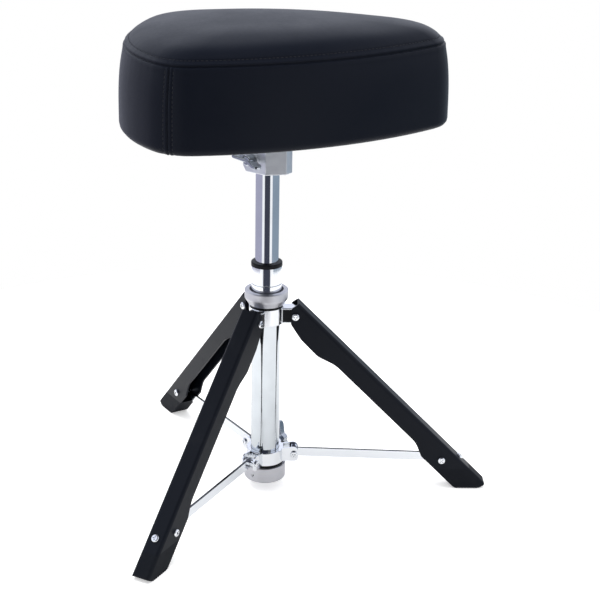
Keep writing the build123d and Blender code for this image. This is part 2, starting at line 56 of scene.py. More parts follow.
# --- view -----------------------------------------------------------------------------------------
CAMERA_BACK = 1.5788      # in front of the column's axis
CAMERA_UP = 0.8317
CAMERA_PITCH = 21.04      # degrees below level
CAMERA_YAW = 1.33
CAMERA_ROLL = -1.05
LENS_MM = 92.9
SENSOR_MM = 36.0
FLOOR_RADIUS = 0.73
FLOOR_FRONT = -0.57       # the floor ends here, short of the camera
FLOOR_DROP = 0.05 * MM    # below the feet
FLOOR_SIDES = 144
FLOOR_GLOW = 0.4          # keeps the floor's shadows as faint as on a lit table

# --- hub ------------------------------------------------------------------------------------------
LUG_START = 19.4 * MM     # from the column's axis
LUG_HALF = 7.2 * MM       # half the height of the lugs' painted dark reflection
LUG_FADE = 0.3 * MM

# --- seat cover -----------------------------------------------------------------------------------
SEAT_TURN = math.radians(8.6)    # the seat's nose, round the column from +X
OUTLINE_RAYS = 1440       # cast inwards to find the CAD cushion's outline
NORMAL_REACH = 4 * MM     # to each side of a point, for the direction outward there
COVER_COLUMNS = 168       # of the coarse grid that is simulated
SEAM_DROP = 24.4 * MM     # the top seam below the crown
SEAM_INSET = 6.7 * MM
EDGE_SHARE = 0.68         # of the crown's rise, taken close to the seam
EDGE_LEAN = 0.06          # more of it at the nose and less at the rear
EDGE_POWER = 14.0         # the higher, the tighter that rounding
CROWN_POWER = 2.6
CROWN_SPARE = 0.6 * MM    # left for the crown to swell into
CROWN_ROWS = 29
CROWN_ROW_POWER = 1.25    # the higher, the closer the rows at the seam
ALMOST_MIDDLE = 0.995     # where the last row stops, short of a point
HEM_INSET = 33.0 * MM
HEM_STEP = 5.0 * MM
LOWER_ROUND = 6.5 * MM
LOWER_ROUND_ROWS = 7
BAND_ROWS = 11
BAND_LEAN_POWER = 3.2     # the higher, the nearer to the seam the band leans in
PRESSURE = 4.0
SWELL_FRAMES = 20
SWELL_CAP = 2.5 * MM
EVENING_PASSES = 60
EVENING_KEPT = 0.4        # of a point's own swelling in each pass
EVENING_ROUND = 0.45      # taken from its neighbours round the cover
EVENING_UP = 0.15         # and from those above and below
TOP_STITCH = 7.5 * MM     # from the top seam, in over the top panel
BAND_STITCH = 5.0 * MM    # each side of a band seam
BAND_SEAMS = ((-97.5 * MM, -124.6 * MM), (-129.6 * MM, 90.5 * MM))   # from the column's axis
NEAR = np.array([-0.4, 0.0, 0.4]) * MM    # a small patch round a point of the cover
STITCH_PITCH = 4.6 * MM
STITCH_LENGTH = 3.5 * MM
STITCH_STATIONS = ((0, -0.5), (0.2, 0.25), (0.5, 0.4), (0.8, 0.25), (1, -0.5))   # along, out
BAND_STITCH_TOP = -6.0 * MM    # from the top seam
BAND_STITCH_SPARE = 2.0 * MM   # above the lower edge
THREAD_R = 0.36 * MM
ROD_GIRTHS = (0.3, 1.0, 1.0, 1.0, 0.3)    # of a stitch or staple along its length
ROD_SIDES = 6
LOWER_EDGE_ROW = 4        # rows of the cover's grid that lie flat under the board
UNDER_DRAW = 0.8 * MM     # the furthest the cover is drawn in where the board backs it

# Ridges and grooves of the sewing: how far out the cover stands, and half the width.
TOP_SEAM_GROOVE = (-1.5 * MM, 1.0 * MM)
TOP_SEAM_WELT = (0.55 * MM, 1.7 * MM)
TOP_WELT_OFFSET = 2.9 * MM
TOP_STITCH_GROOVE = (-0.5 * MM, 1.1 * MM)
BAND_SEAM_GROOVE = (-1.3 * MM, 0.9 * MM)
BAND_SEAM_WELT = (0.4 * MM, 1.3 * MM)
BAND_WELT_OFFSET = 2.3 * MM
BAND_STITCH_GROOVE = (-0.4 * MM, 0.9 * MM)
BAND_TOP = -1.5 * MM      # from the top seam: a band seam fades out over BAND_FADE here
BAND_FADE = 0.6 * MM
PUCKER = 0.09 * MM        # height of the small waves beside the top seam
PUCKER_REACH = 9.0 * MM
PUCKER_WAVES = ((1, 71, 1.3, 5), (0.6, 113, 2, 3))    # as uneven_waves takes them
FOLD_DEPTH = 0.6 * MM     # of the gathers under the board
FOLD_START = -6.0 * MM    # from the lower edge
FOLD_RUN = 24.0 * MM
FOLD_POWER = 1.5          # how slowly they deepen along that run
FOLD_MEAN = 0.9           # shifts their waves, so that most of each goes inwards
FOLD_WAVES = ((1, 64, 2.2, 4), (0.5, 97, 1.7, 7))
SIDE_FOLDS = 0.2          # the gathers' depth along a side, as a share of that at a corner
BEND_REACH = 34.0 * MM    # to each side of a point, when its corner is judged
BEND_START = 0.3          # radians of turn over that reach where a corner begins
BEND_RUN = 0.8

# Spacing of the fine grid: ordinary, and close to a seam.
ROW_STEP, ROW_FINE, ROW_REACH = 3.4 * MM, 0.55 * MM, 4.6 * MM
COLUMN_STEP, COLUMN_FINE, COLUMN_REACH = 3.6 * MM, 0.6 * MM, 7.0 * MM

# --- cloth under the seat -------------------------------------------------------------------------
CLOTH_INSET = 24.0 * MM
CLOTH_HOLE = (50 * MM, 42 * MM)    # half its sides, along the seat and across
CLOTH_SAMPLES = 720       # of the seat's outline
CLOTH_COLUMNS = 300
CLOTH_ROWS = 26
CLOTH_SAG = 1.6 * MM
CLOTH_SAG_POWER = 0.8     # the lower, the flatter its middle hangs
CLOTH_THICK = 0.5 * MM
CLOTH_CREASE = 0.45 * MM
CLOTH_SCALLOP = 1.2 * MM  # how far its edge draws back between two staples
CLOTH_BORDER = 0.95       # of the way out: the rows beyond this draw back
SKIN = 0.1 * MM           # a hair's gap between pieces that lie on each other
STAPLE_PITCH = 27.0 * MM
STAPLE_INSET = 27.5 * MM
STAPLE_HALF = 5.0 * MM
STAPLE_LEG = 1.2 * MM
STAPLE_STATIONS = (-1, -0.97, 0, 0.97, 1)
STAPLE_R = 0.45 * MM

# --- studio, as polished metal sees it ------------------------------------------------------------
WHITE = (1, 1, 1, 1)
DARK_FRONT = (0.055, 0.06, 0.085, 1)
SCREEN_LOW = (1.05, 1.06, 1.08, 1)
SCREEN_HIGH = (0.25, 0.255, 0.265, 1)
CEILING = (0.10, 0.10, 0.11, 1)
LEFT_WALL = (0.42, 0.42, 0.55, 1)
RIGHT_WALL = (0.27, 0.34, 0.42, 1)
BACK_WALL = (0.98, 1.02, 1.16, 1)
SCREEN_START = (24, 29)   # degrees from straight ahead of the throne, each a soft edge
SCREEN_END = (47, 53)
SCREEN_FADE = (0.05, 0.4)      # sines of the height above level, from here on
CEILING_EDGE = (0.70, 0.92)
BACK_WALL_FOOT = (-0.02, 0.08)
SIDE_WALL_EDGE = (-0.1, 0.1)   # sine of the turn to the right
OVERHEAD = (-0.3, 0.1, 1.9)    # the lamp, from the column's foot
OVERHEAD_AIM = (0, 0, 0.2)
OVERHEAD_SIZE = 1.8
OVERHEAD_POWER = 30.0


# --- node helpers ---------------------------------------------------------------------------------
class Tree:
    """Short ways to add nodes to a material's or a world's node tree."""

    def __init__(self, owner):
        owner.use_nodes = True
        self.nodes = owner.node_tree.nodes
        self.links = owner.node_tree.links
        self.nodes.clear()

    def add(self, kind, settings=None, **inputs):
        node = self.nodes.new(kind)
        for name, value in (settings or {}).items():
            setattr(node, name, value)
        for name, value in inputs.items():
            self.feed(node.inputs[name.replace("_", " ")], value)
        return node

    def feed(self, socket, value):
        if isinstance(value, bpy.types.NodeSocket):
            self.links.new(value, socket)
        else:
            socket.default_value = value

    def math(self, operation, a, b=0.0):
        node = self.nodes.new("ShaderNodeMath")
        node.operation = operation
        self.feed(node.inputs[0], a)
        self.feed(node.inputs[1], b)
        return node.outputs[0]

    def square(self, a):
        return self.math("MULTIPLY", a, a)

    def ramp(self, value, low, high, to_low=0.0, to_high=1.0):
        """A smooth step from to_low to to_high as value goes from low to high."""
        node = self.nodes.new("ShaderNodeMapRange")
        node.interpolation_type = "SMOOTHSTEP"
        for index, x in enumerate((value, low, high, to_low, to_high)):
            self.feed(node.inputs[index], x)
        return node.outputs["Result"]

    def blend(self, share, first, second):
        node = self.nodes.new("ShaderNodeMix")
        node.data_type = "RGBA"
        self.feed(node.inputs[0], share)
        self.feed(node.inputs[6], first)
        self.feed(node.inputs[7], second)
        return node.outputs[2]

    def place(self, stretch=(1, 1, 1)):
        """The piece's own coordinates in metres, stretched, so that a pattern moves with it."""
        coordinates = self.nodes.new("ShaderNodeTexCoord")
        mapping = self.nodes.new("ShaderNodeMapping")
        mapping.inputs["Scale"].default_value = stretch
        self.links.new(coordinates.outputs["Object"], mapping.inputs["Vector"])
        return mapping.outputs["Vector"]

    def noise(self, where, scale, detail=3.0, roughness=0.5):
        """Cloudy noise of about this many lumps to the metre, in this many octaves."""
        node = self.add(
            "ShaderNodeTexNoise", Vector=where, Scale=scale, Detail=detail, Roughness=roughness
        )
        return node.outputs["Fac"]

    def cells(self, where, scale, feature="F1"):
        """Pebbles, this many to the metre: 0 in their middles."""
        node = self.add("ShaderNodeTexVoronoi", {"feature": feature}, Vector=where, Scale=scale)
        return node.outputs["Distance"]

    def bump(self, height, depth, strength=1.0, below=None):
        """A bump of a real depth in metres, on top of another one if given."""
        node = self.add("ShaderNodeBump", Height=height, Distance=depth, Strength=strength)
        if below is not None:
            self.links.new(below, node.inputs["Normal"])
        return node.outputs["Normal"]

    def surface(self, **inputs):
        shader = self.add("ShaderNodeBsdfPrincipled", **inputs)
        output = self.nodes.new("ShaderNodeOutputMaterial")
        self.links.new(shader.outputs["BSDF"], output.inputs["Surface"])


# --- materials ------------------------------------------------------------------------------------
def polished(name, colour, low, high):
    """Plated metal: faint smudges in the gloss and very fine polishing marks. low and high are
    the roughness of its clean and its smudged places."""
    material = bpy.data.materials.new(name)
    tree = Tree(material)
    smudge = tree.noise(tree.place(), 55, 4)
    fine = tree.noise(tree.place(), 900, 2)
    smudged = (*(0.94 * channel for channel in colour[:3]), 1)
    tree.surface(
        Base_Color=tree.blend(tree.ramp(smudge, 0.3, 0.7), colour, smudged),
        Metallic=1.0,
        Roughness=tree.ramp(smudge, 0.25, 0.75, low, high),
        Normal=tree.bump(fine, 0.002 * MM, 0.5),
    )
    return material


def chrome():
    return polished("chrome", (0.84, 0.86, 0.89, 1), 0.035, 0.075)


def shaded_tube_chrome():
    """The big tube's plating: the chrome painted a little deeper and bluer than on the small parts,
    a painted shade that dims the bright floor it mirrors.
    """
    return polished("shaded_tube_chrome", (0.61, 0.645, 0.675, 1), 0.035, 0.075)


def shaded_wing_chrome():
    """The wing bolts' chrome, painted dark and dull: a painted shade and dark reflection, as of the
    seat's dark underside.
    """
    return polished("shaded_wing_chrome", (0.42, 0.45, 0.49, 1), 0.06, 0.12)


def strip_chrome():
    """Plated strip: its faces are bright, and its top and bottom edges are painted dull and dark, a
    painted dark reflection.
    """
    material = bpy.data.materials.new("strip_chrome")
    tree = Tree(material)
    coordinates = tree.nodes.new("ShaderNodeTexCoord")
    split = tree.add("ShaderNodeSeparateXYZ", Vector=coordinates.outputs["Normal"])
    # painted dark reflection: edges whose own normals face up or down are painted dark and dull
    painted_dark_edges = tree.ramp(tree.math("ABSOLUTE", split.outputs["Z"]), 0.55, 0.8)
    smudge = tree.noise(tree.place(), 55, 4)
    plated = tree.blend(smudge, (0.80, 0.83, 0.87, 1), (0.86, 0.88, 0.91, 1))
    tree.surface(
        Base_Color=tree.blend(painted_dark_edges, plated, (0.07, 0.075, 0.085, 1)),
        Metallic=1.0,
        Roughness=tree.ramp(painted_dark_edges, 0.0, 1.0, 0.05, 0.24),
        Normal=tree.bump(tree.noise(tree.place(), 900, 2), 0.002 * MM, 0.5),
    )
    return material


def hub_finish():
    """A machined sleeve with fine rings round the column's axis. The lugs' sides are painted black,
    a painted dark reflection on chrome lugs, and their top and bottom edges stay bright."""
    material = bpy.data.materials.new("turned_chrome")
    tree = Tree(material)
    rings = tree.noise(tree.place((0.02, 0.02, 1)), 1500, 3)
    broad = tree.noise(tree.place((0.05, 0.05, 1)), 240, 2)
    split = tree.add("ShaderNodeSeparateXYZ", Vector=tree.place())
    x = tree.math("SUBTRACT", split.outputs["X"], AXIS.x)
    y, z = split.outputs["Y"], split.outputs["Z"]
    across = tree.math("SQRT", tree.math("ADD", tree.square(x), tree.square(y)))
    low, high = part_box("hub")
    level = tree.math("ABSOLUTE", tree.math("SUBTRACT", z, (low.z + high.z) / 2))
    # painted dark reflection: the lugs' sides, out past LUG_START and near the hub's middle height,
    # are painted black and not metal
    outside = tree.ramp(across, LUG_START, LUG_START + LUG_FADE)
    middle = tree.ramp(level, LUG_HALF + LUG_FADE, LUG_HALF)
    painted_dark_lugs = tree.math("MULTIPLY", outside, middle)
    plated = tree.blend(broad, (0.70, 0.72, 0.75, 1), (0.82, 0.83, 0.86, 1))
    tree.surface(
        Base_Color=tree.blend(painted_dark_lugs, plated, (0.006, 0.0065, 0.008, 1)),
        Metallic=tree.math("SUBTRACT", 1.0, painted_dark_lugs),
        Roughness=tree.ramp(broad, 0.3, 0.7, 0.14, 0.22),
        Specular_IOR_Level=0.1,
        Normal=tree.bump(rings, 0.012 * MM, 0.8),
    )
    return material


def satin_chrome():
    """Bead-blasted and plated: an even, fine-grained dull silver."""
    material = bpy.data.materials.new("satin_chrome")
    tree = Tree(material)
    grain = tree.noise(tree.place(), 3800, 2)
    cloud = tree.noise(tree.place(), 90, 3)
    tree.surface(
        Base_Color=tree.blend(cloud, (0.50, 0.50, 0.53, 1), (0.60, 0.60, 0.63, 1)),
        Metallic=1.0,
        Roughness=tree.ramp(cloud, 0.25, 0.75, 0.36, 0.46),
        Normal=tree.bump(grain, 0.01 * MM, 0.6),
    )
    return material


def cast_metal():
    """A plated die casting: a soft skin with shallow hollows."""
    material = bpy.data.materials.new("cast_metal")
    tree = Tree(material)
    skin = tree.noise(tree.place(), 150, 2)
    tree.surface(
        Base_Color=tree.blend(skin, (0.68, 0.70, 0.73, 1), (0.75, 0.77, 0.80, 1)),
        Metallic=1.0,
        Roughness=tree.ramp(skin, 0.25, 0.75, 0.38, 0.45),
        Normal=tree.bump(skin, 0.02 * MM, 0.5),
    )
    return material


def powder_coat():
    """Black powder coat: fine orange peel and uneven gloss, rubbed a little here and there."""
    material = bpy.data.materials.new("black_powder_coat")
    tree = Tree(material)
    peel = tree.noise(tree.place(), 620, 2)
    grain = tree.noise(tree.place(), 2400, 2)
    rub = tree.ramp(tree.noise(tree.place(), 38, 5, 0.62), 0.52, 0.78)
    coarse = tree.bump(peel, 0.05 * MM, 0.7)
    tree.surface(
        Base_Color=tree.blend(rub, (0.0050, 0.0065, 0.0105, 1), (0.0080, 0.0095, 0.0135, 1)),
        Roughness=tree.ramp(rub, 0.0, 1.0, 0.36, 0.48),
        Specular_IOR_Level=0.11,
        Normal=tree.bump(grain, 0.012 * MM, 0.6, below=coarse),
    )
    return material


def rubber():
    material = bpy.data.materials.new("black_rubber")
    tree = Tree(material)
    grain = tree.noise(tree.place(), 1900, 3)
    dust = tree.ramp(tree.noise(tree.place(), 130, 5, 0.65), 0.45, 0.8)
    tree.surface(
        Base_Color=tree.blend(dust, (0.0055, 0.0070, 0.0105, 1), (0.0100, 0.0112, 0.0145, 1)),
        Roughness=tree.ramp(dust, 0.0, 1.0, 0.58, 0.74),
        Specular_IOR_Level=0.1,
        Normal=tree.bump(grain, 0.03 * MM, 0.6),
    )
    return material


def nylon():
    material = bpy.data.materials.new("black_nylon")
    tree = Tree(material)
    grain = tree.noise(tree.place(), 1200, 3)
    tree.surface(
        Base_Color=tree.blend(grain, (0.005, 0.0055, 0.007, 1), (0.009, 0.0095, 0.011, 1)),
        Roughness=tree.ramp(grain, 0.3, 0.7, 0.34, 0.44),
        Specular_IOR_Level=0.12,
        Normal=tree.bump(grain, 0.01 * MM, 0.5),
    )
    return material


def zinc():
    material = bpy.data.materials.new("zinc_steel")
    tree = Tree(material)
    bloom = tree.cells(tree.place(), 700)
    tree.surface(
        Base_Color=tree.blend(bloom, (0.5, 0.52, 0.55, 1), (0.72, 0.73, 0.74, 1)),
        Metallic=1.0,
        Roughness=tree.ramp(bloom, 0.0, 0.8, 0.26, 0.4),
        Normal=tree.bump(tree.noise(tree.place(), 1500, 2), 0.01 * MM, 0.5),
    )
    return material


def plywood():
    material = bpy.data.materials.new("plywood")
    tree = Tree(material)
    plies = tree.noise(tree.place((1, 1, 60)), 12, 2)
    grain = tree.noise(tree.place((1, 9, 1)), 60, 5, 0.6)
    colour = tree.blend(grain, (0.36, 0.23, 0.12, 1), (0.6, 0.44, 0.27, 1))
    tree.surface(
        Base_Color=tree.blend(tree.ramp(plies, 0.45, 0.55), colour, (0.42, 0.29, 0.17, 1)),
        Roughness=tree.ramp(grain, 0.2, 0.8, 0.6, 0.78),
        Normal=tree.bump(grain, 0.1 * MM, 0.5),
    )
    return material


def vinyl():
    """Soft black leathercloth with a faint blue cast: pebbled grain, pores and a broad sheen."""
    material = bpy.data.materials.new("black_vinyl")
    tree = Tree(material)
    warp = tree.noise(tree.place(), 260, 2)
    pebble = tree.cells(tree.place(), 1150, "SMOOTH_F1")
    crease = tree.noise(tree.place((1, 1, 1.4)), 520, 4, 0.6)
    tone = tree.noise(tree.place(), 14, 4, 0.55)
    gloss = tree.math("ADD", tone, tree.math("MULTIPLY", warp, 0.3))
    coarse = tree.bump(crease, 0.03 * MM, 0.5)
    tree.surface(
        Base_Color=tree.blend(tone, (0.0030, 0.0045, 0.0092, 1), (0.0048, 0.0064, 0.0118, 1)),
        Roughness=tree.ramp(gloss, 0.4, 0.9, 0.38, 0.47),
        Specular_IOR_Level=0.10,
        Sheen_Weight=0.085,
        Sheen_Roughness=0.35,
        Sheen_Tint=(0.84, 0.9, 1.0, 1),
        Normal=tree.bump(pebble, 0.045 * MM, 0.55, below=coarse),
    )
    return material


def thread():
    material = bpy.data.materials.new("black_thread")
    tree = Tree(material)
    twist = tree.noise(tree.place(), 2600, 2)
    tree.surface(
        Base_Color=tree.blend(twist, (0.0045, 0.0055, 0.009, 1), (0.012, 0.0135, 0.019, 1)),
        Roughness=tree.ramp(twist, 0.3, 0.7, 0.5, 0.65),
        Normal=tree.bump(twist, 0.06 * MM, 0.8),
    )
    return material


def dust_cloth():
    """Black non-woven cloth: a bonded grid of dimples over loose fibres."""
    material = bpy.data.materials.new("dust_cloth")
    tree = Tree(material)
    dimples = tree.ramp(tree.cells(tree.place(), 620), 0.0, 0.5)
    fibres = tree.noise(tree.place(), 1400, 5, 0.7)
    coarse = tree.bump(dimples, 0.12 * MM, 0.8)
    tree.surface(
        Base_Color=tree.blend(fibres, (0.008, 0.008, 0.009, 1), (0.03, 0.03, 0.033, 1)),
        Roughness=tree.ramp(fibres, 0.2, 0.8, 0.85, 0.97),
        Sheen_Weight=0.25,
        Normal=tree.bump(fibres, 0.08 * MM, 0.8, below=coarse),
    )
    return material


def floor_paint():
    material = bpy.data.materials.new("pale_floor")
    tree = Tree(material)
    path = tree.nodes.new("ShaderNodeLightPath")
    glow = tree.math("MULTIPLY", path.outputs["Is Camera Ray"], FLOOR_GLOW)
    tree.surface(
        Base_Color=(0.93, 0.93, 0.935, 1),
        Roughness=0.7,
        Specular_IOR_Level=0.2,
        Emission_Color=WHITE,
        Emission_Strength=glow,
    )
    return material


def paint(obj, material):
    obj.data.materials.clear()
    obj.data.materials.append(material)


def paint_cad_nodes():
    """Every CAD node's material by its slot in the record, with a few nodes of their own."""
    looks = {
        "chrome": chrome(),
        "satin_chrome": satin_chrome(),
        "cast_metal": cast_metal(),
        "black_powder_coat": powder_coat(),
        "black_rubber": rubber(),
        "black_nylon": nylon(),
        "zinc_steel": zinc(),
        "plywood": plywood(),
        "black_vinyl": vinyl(),
        "dust_cloth": dust_cloth(),
    }
    looks["foam"] = looks["dust_cloth"]
    for part in frame["record"]["subparts"]:
        paint(frame["nodes"][part["node"]], looks[part["material_slot"]])
    paint(frame["nodes"]["hub"], hub_finish())
    # painted shade: the base tube gets a darker copy of the chrome
    paint(frame["nodes"]["base_tube"], shaded_tube_chrome())
    # painted shade and dark reflection on both wing bolts
    shaded_wings = shaded_wing_chrome()
    for node in ("seat_wing_bolt", "spider_wing_bolt"):
        paint(frame["nodes"][node], shaded_wings)
    strip = strip_chrome()
    for number in (1, 2, 3):
        paint(frame["nodes"][f"stay_{number}"], strip)
    return looks


# --- the seat's cover -----------------------------------------------------------------------------
def cushion_outline():
    """A closed ring of points round the CAD cushion at half height, and the run along it."""
    low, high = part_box("seat_cover")
    middle = (low + high) / 2
    mesh = frame["nodes"]["seat_cover"].data
    corners = [vertex.co for vertex in mesh.vertices]
    tree = BVHTree.FromPolygons(corners, [polygon.vertices[:] for polygon in mesh.polygons])
    reach = (high - low).length
    hits = []
    for angle in np.linspace(0, 2 * math.pi, OUTLINE_RAYS + 1)[:-1]:
        out = Vector((math.cos(angle), math.sin(angle), 0))
        hits.append(tree.ray_cast(middle + out * reach, -out)[0])
    ring = np.array([(p.x, p.y) for p in hits])
    closed = np.vstack([ring, ring[:1]])
    run = np.concatenate([[0], np.cumsum(np.linalg.norm(np.diff(closed, axis=0), axis=1))])
    return closed, run


class Outline:
    """The cushion's outline as a smooth closed line, by the distance along it."""

    def __init__(self):
        self.points, self.run = cushion_outline()
        self.length = self.run[-1]

    def at(self, s):
        s = np.mod(s, self.length)
        return np.stack([np.interp(s, self.run, self.points[:, k]) for k in (0, 1)], axis=-1)

    def normal(self, s):
        along = self.at(s + NORMAL_REACH) - self.at(s - NORMAL_REACH)
        out = np.stack([along[..., 1], -along[..., 0]], axis=-1)
        return out / np.linalg.norm(out, axis=-1, keepdims=True)

    def nearest(self, place):
        """The distance along the outline of the point nearest to a place given from the axis."""
        away = self.points[:-1] - np.array([AXIS.x + place[0], AXIS.y + place[1]])
        return self.run[np.argmin(np.linalg.norm(away, axis=1))]

    def bend(self, s):
        """How sharply the outline turns here: 0 along a side, 1 round a corner."""
        before, after = self.normal(s - BEND_REACH), self.normal(s + BEND_REACH)
        turn = np.arccos(np.clip((before * after).sum(axis=-1), -1, 1))
        return np.clip((turn - BEND_START) / BEND_RUN, 0, 1)


def band_profile():
    """The cover's section from its hem under the board up to the top seam: inset and height."""
    low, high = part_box("seat_cover")
    rows = [(HEM_INSET - k * HEM_STEP, low.z) for k in range(LOWER_EDGE_ROW)]
    for turn in np.linspace(0, math.pi / 2, LOWER_ROUND_ROWS):
        inset = LOWER_ROUND * (1 - math.sin(turn))
        rows.append((inset, low.z + LOWER_ROUND * (1 - math.cos(turn))))
    start = low.z + LOWER_ROUND
    seam = high.z - SEAM_DROP
    for share in np.linspace(0, 1, BAND_ROWS + 1)[1:]:
        rows.append((SEAM_INSET * share**BAND_LEAN_POWER, start + (seam - start) * share))
    return rows


def crown_height(share, edge_share):
    """The top panel's rise over the seam at a share of the way in from it to the middle."""
    edge = edge_share * (1 - (1 - share) ** EDGE_POWER)
    crown = (1 - edge_share) * (1 - (1 - share) ** CROWN_POWER)
    return (SEAM_DROP - CROWN_SPARE) * (edge + crown)


def cover_grid(outline, columns):
    """The cover before it swells, as a grid of points: rows up the section, columns round it."""
    s = np.linspace(0, outline.length, columns + 1)[:-1]
    edge, out = outline.at(s), outline.normal(s)
    seam = edge - out * SEAM_INSET
    middle = np.array([AXIS.x, AXIS.y])
    band = band_profile()
    rows = []
    for inset, height in band:
        rows.append(np.column_stack([edge - out * inset, np.full(columns, height)]))
    seam_row = len(band) - 1
    seam_height = band[seam_row][1]
    away = seam - middle
    direction = np.arctan2(away[:, 1], away[:, 0])
    edge_share = EDGE_SHARE + EDGE_LEAN * np.cos(direction - SEAT_TURN)
    for share in np.linspace(0, 1, CROWN_ROWS + 1)[1:] ** CROWN_ROW_POWER:
        places = seam - away * min(share, ALMOST_MIDDLE)
        rows.append(np.column_stack([places, seam_height + crown_height(share, edge_share)]))
    return np.array(rows), seam_row


def smooth_object(name, mesh):
    mesh.polygons.foreach_set("use_smooth", [True] * len(mesh.polygons))
    obj = bpy.data.objects.new(name, mesh)
    bpy.context.scene.collection.objects.link(obj)
    return obj


def grid_mesh(name, grid, wraps=False):
    """A mesh from a grid of points that goes round in columns. Its rows wrap round as well, or
    else its first and last rows are closed with a fan each."""
    rows, columns = grid.shape[:2]
    vertices = [tuple(p) for p in grid.reshape(-1, 3)]
    faces = []
    for r in range(rows if wraps else rows - 1):
        this, above = r * columns, (r + 1) % rows * columns
        for c in range(columns):
            d = (c + 1) % columns
            faces.append((this + c, this + d, above + d, above + c))
    for r, step in () if wraps else ((0, -1), (rows - 1, 1)):
        vertices.append(tuple(grid[r].mean(axis=0)))
        tip = len(vertices) - 1
        for c in range(columns):
            pair = (r * columns + c, r * columns + (c + 1) % columns)
            faces.append((*pair[::step], tip))
    mesh = bpy.data.meshes.new(name)
    mesh.from_pydata(vertices, [], faces)
    mesh.validate()
    return smooth_object(name, mesh)


def swell(grid, seam_row):
    """Cloth simulation: the cover blown up from inside, held at its hem and along its top seam."""
    rows, columns = grid.shape[:2]
    obj = grid_mesh("cover_simulation", grid)
    held = obj.vertex_groups.new(name="held")
    fixed = [r * columns + c for r in (*range(LOWER_EDGE_ROW), seam_row) for c in range(columns)]
    held.add(fixed, 1.0, "REPLACE")
    held.add([rows * columns], 1.0, "REPLACE")
    modifier = obj.modifiers.new("Cloth", "CLOTH")
    settings = modifier.settings
    settings.quality = 5
    settings.mass = 0.35
    settings.tension_stiffness = 28
    settings.compression_stiffness = 28
    settings.shear_stiffness = 12
    settings.bending_stiffness = 1.5
    settings.use_pressure = True
    settings.uniform_pressure_force = PRESSURE
    settings.vertex_group_mass = "held"
    settings.effector_weights.gravity = 0
    modifier.collision_settings.use_collision = False
    modifier.point_cache.frame_start = 1
    modifier.point_cache.frame_end = SWELL_FRAMES
    scene = bpy.context.scene
    for step in range(1, SWELL_FRAMES + 1):
        scene.frame_set(step)
    shape = obj.evaluated_get(bpy.context.evaluated_depsgraph_get()).to_mesh()
    points = np.zeros(len(shape.vertices) * 3)
    shape.vertices.foreach_get("co", points)
    bpy.data.objects.remove(obj)
    scene.frame_set(1)
    moved = points.reshape(-1, 3)[: rows * columns].reshape(rows, columns, 3) - grid
    far = np.linalg.norm(moved, axis=-1, keepdims=True)
    moved = evened(moved * np.minimum(1, SWELL_CAP / np.maximum(far, 1e-9)))
    moved[seam_row] = 0
    moved[:LOWER_EDGE_ROW] = 0
    return grid + moved


def evened(moved):
    """The swelling with its small buckles rubbed out: foam under a taut cover doesn't crease."""
    for _ in range(EVENING_PASSES):
        sideways = (np.roll(moved, 1, axis=1) + np.roll(moved, -1, axis=1)) / 2
        padded = np.concatenate([moved[:1], moved, moved[-1:]])
        updown = (padded[2:] + padded[:-2]) / 2
        moved = EVENING_KEPT * moved + EVENING_ROUND * sideways + EVENING_UP * updown
    return moved


def between(values, positions, axis, wraps):
    """Values read at fractional positions along one axis by a Catmull-Rom spline."""
    count = values.shape[axis]
    base = np.floor(positions).astype(int)
    t = positions - base
    taken = []
    for offset in (-1, 0, 1, 2):
        index = np.mod(base + offset, count) if wraps else np.clip(base + offset, 0, count - 1)
        taken.append(np.take(values, index, axis=axis))
    shape = [1] * values.ndim
    shape[axis] = len(positions)
    t = t.reshape(shape)
    a, b, c, d = taken
    slope = (c - a) * t
    curve = (2 * a - 5 * b + 4 * c - d) * t**2
    twist = (3 * b - a - 3 * c + d) * t**3
    return 0.5 * (2 * b + slope + curve + twist)


def row_distances(grid, seam_row):
    """Mean distance of each row from the top seam along the cover: minus below, plus above."""
    steps = np.linalg.norm(np.diff(grid, axis=0), axis=-1).mean(axis=1)
    run = np.concatenate([[0], np.cumsum(steps)])
    return run - run[seam_row]


def fine_steps(low, high, step, places, reach, fine):
    """Numbers from low to high a step apart, closer together within a reach of some places."""
    values = [low]
    while values[-1] < high:
        near = min(abs(values[-1] - place) for place in places)
        values.append(values[-1] + (fine if near < reach else step))
    values[-1] = high
    return np.array(values)


def ridge(distance, size):
    """A rounded ridge, or a groove, of a (height, half width) along a line."""
    height, width = size
    return height * np.exp(-((distance / width) ** 2))


def apart(s, place, length):
    """Signed distance along a closed line."""
    return (s - place + length / 2) % length - length / 2


def uneven_waves(turn, *waves):
    """Waves round the seat that crowd and spread a little, added up. Each is (height, how many,
    how far they wander, how often they do)."""
    total = 0
    for height, count, wander, often in waves:
        total = total + height * np.sin(count * turn + wander * np.sin(often * turn))
    return total


def sewn_relief(t, s, outline, seams):
    """How far seams, stitching and puckers move the cover in or out. t is the distance from the
    top seam and s along the outline."""
    height = ridge(t, TOP_SEAM_GROOVE)
    height = height + ridge(np.abs(t) - TOP_WELT_OFFSET, TOP_SEAM_WELT)
    height = height + ridge(t - TOP_STITCH, TOP_STITCH_GROOVE)
    on_band = 1 / (1 + np.exp((t - BAND_TOP) / BAND_FADE))
    for seam in seams:
        d = apart(s, seam, outline.length)
        height = height + ridge(d, BAND_SEAM_GROOVE) * on_band
        height = height + ridge(np.abs(d) - BAND_WELT_OFFSET, BAND_SEAM_WELT) * on_band
        height = height + ridge(np.abs(d) - BAND_STITCH, BAND_STITCH_GROOVE) * on_band
    turn = 2 * math.pi * s / outline.length
    pucker = uneven_waves(turn, *PUCKER_WAVES)
    return height + PUCKER * pucker * np.exp(-np.abs(t) / PUCKER_REACH)


